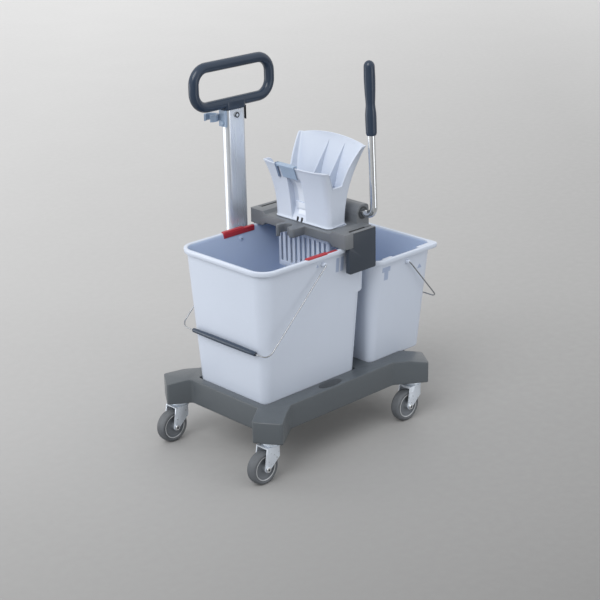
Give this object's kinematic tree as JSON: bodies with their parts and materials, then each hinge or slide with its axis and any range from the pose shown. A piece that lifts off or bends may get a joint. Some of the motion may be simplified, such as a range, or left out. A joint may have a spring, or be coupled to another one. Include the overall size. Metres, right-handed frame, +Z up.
{
  "type": "double mop bucket trolley",
  "caption": "Wheeled trolley with a push handle, a tall and a low lift-out bucket with wire bails, and a lever press with a funnel for flat mops.",
  "frame": {"origin": "on the floor under the middle of the chassis deck", "axes": "+X along the trolley towards the small bucket, +Y across it towards the push handle, +Z up"},
  "size_m": [0.6621, 0.4326, 0.9228],
  "materials": {
    "frame_plastic": "moulded dark grey polypropylene, fine grain",
    "holder_plastic": "moulded taupe grey plastic, fine grain",
    "bucket_plastic": "pale blue-grey polypropylene, satin",
    "press_plastic": "pale blue-white plastic, satin",
    "inner_plastic": "plain moulded plastic",
    "slate_plastic": "dark slate plastic, satin",
    "clip_plastic": "blue-grey plastic, satin",
    "red_plastic": "bright red plastic",
    "zinc": "zinc plated steel",
    "chrome_wire": "bright chromed steel",
    "mast_aluminium": "anodised satin aluminium",
    "hub_plastic": "grey moulded plastic",
    "tyre": "grey non-marking rubber"
  },
  "bodies": {
    "chassis": {"chassis": "frame_plastic", "socket_cover": "frame_plastic", "mast_socket": "frame_plastic", "socket_bolts": "zinc", "mast": "mast_aluminium", "push_handle": "slate_plastic", "handle_screws": "zinc", "tool_clip": "clip_plastic", "caster_stem_fl": "zinc", "caster_stem_fr": "zinc", "caster_stem_rl": "zinc", "caster_stem_rr": "zinc"},
    "big_bucket": {"big_bucket": "bucket_plastic", "rim_insert_near": "red_plastic", "rim_insert_far": "red_plastic"},
    "big_bail": {"big_bail": "chrome_wire", "big_bail_grip": "slate_plastic"},
    "small_bucket": {"small_bucket": "bucket_plastic"},
    "small_bail": {"small_bail": "chrome_wire", "small_bail_grip": "slate_plastic"},
    "press": {"press_holder": "holder_plastic", "side_plate_near": "slate_plastic", "side_plate_far": "slate_plastic", "holder_screws": "zinc", "press_funnel": "press_plastic", "funnel_clip": "clip_plastic", "strainer": "press_plastic"},
    "lever": {"lever_rod": "chrome_wire", "pinion": "zinc", "shaft_collar": "zinc", "lever_grip": "slate_plastic"},
    "presser": {"press_plate": "inner_plastic", "press_rack": "zinc"},
    "fork_fl": {"caster_fork_fl": "zinc", "caster_axle_fl": "chrome_wire"},
    "wheel_fl": {"caster_hub_fl": "hub_plastic", "caster_tyre_fl": "tyre"},
    "fork_fr": {"caster_fork_fr": "zinc", "caster_axle_fr": "chrome_wire"},
    "wheel_fr": {"caster_hub_fr": "hub_plastic", "caster_tyre_fr": "tyre"},
    "fork_rl": {"caster_fork_rl": "zinc", "caster_axle_rl": "chrome_wire"},
    "wheel_rl": {"caster_hub_rl": "hub_plastic", "caster_tyre_rl": "tyre"},
    "fork_rr": {"caster_fork_rr": "zinc", "caster_axle_rr": "chrome_wire"},
    "wheel_rr": {"caster_hub_rr": "hub_plastic", "caster_tyre_rr": "tyre"}
  },
  "joints": [
    {"name": "swivel_fl", "type": "hinge", "parent": "chassis", "child": "fork_fl", "pos_m": [-0.24214, 0.1638, 0.0945], "axis": [0, 0, 1], "continuous": true},
    {"name": "roll_fl", "type": "hinge", "parent": "fork_fl", "child": "wheel_fl", "pos_m": [-0.27015, 0.1638, 0.04], "axis": [0, 1, 0], "continuous": true},
    {"name": "swivel_fr", "type": "hinge", "parent": "chassis", "child": "fork_fr", "pos_m": [-0.24214, -0.1638, 0.0945], "axis": [0, 0, 1], "continuous": true},
    {"name": "roll_fr", "type": "hinge", "parent": "fork_fr", "child": "wheel_fr", "pos_m": [-0.27015, -0.1638, 0.04], "axis": [0, 1, 0], "continuous": true},
    {"name": "swivel_rl", "type": "hinge", "parent": "chassis", "child": "fork_rl", "pos_m": [0.24214, 0.1638, 0.0945], "axis": [0, 0, 1], "continuous": true},
    {"name": "roll_rl", "type": "hinge", "parent": "fork_rl", "child": "wheel_rl", "pos_m": [0.21415, 0.1638, 0.04], "axis": [0, 1, 0], "continuous": true},
    {"name": "swivel_rr", "type": "hinge", "parent": "chassis", "child": "fork_rr", "pos_m": [0.24214, -0.1638, 0.0945], "axis": [0, 0, 1], "continuous": true},
    {"name": "roll_rr", "type": "hinge", "parent": "fork_rr", "child": "wheel_rr", "pos_m": [0.21415, -0.1638, 0.04], "axis": [0, 1, 0], "continuous": true},
    {"name": "big_bucket_lift", "type": "slide", "parent": "chassis", "child": "big_bucket", "axis": [0, 0, 1], "range_m": [0, 0.1]},
    {"name": "small_bucket_lift", "type": "slide", "parent": "chassis", "child": "small_bucket", "axis": [0, 0, 1], "range_m": [0, 0.06]},
    {"name": "press_lift", "type": "slide", "parent": "big_bucket", "child": "press", "axis": [0, 0, 1], "range_m": [0, 0.15]},
    {"name": "big_bail_swing", "type": "hinge", "parent": "big_bucket", "child": "big_bail", "pos_m": [-0.0455, 0, 0.472], "axis": [0, 1, 0], "range_deg": [0, 130]},
    {"name": "small_bail_swing", "type": "hinge", "parent": "small_bucket", "child": "small_bail", "pos_m": [0.2425, 0, 0.407], "axis": [0, -1, 0], "range_deg": [0, 135]},
    {"name": "lever_pull", "type": "hinge", "parent": "press", "child": "lever", "pos_m": [0.129, 0, 0.54915], "axis": [0, 1, 0], "range_deg": [0, 75]},
    {"name": "presser_slide", "type": "slide", "parent": "press", "child": "presser", "axis": [-1, 0, 0], "range_m": [0, 0.0165]}
  ],
  "couplings": [
    {"joint": "presser_slide", "follows": "lever_pull", "m_per_rad": 0.01225}
  ]
}
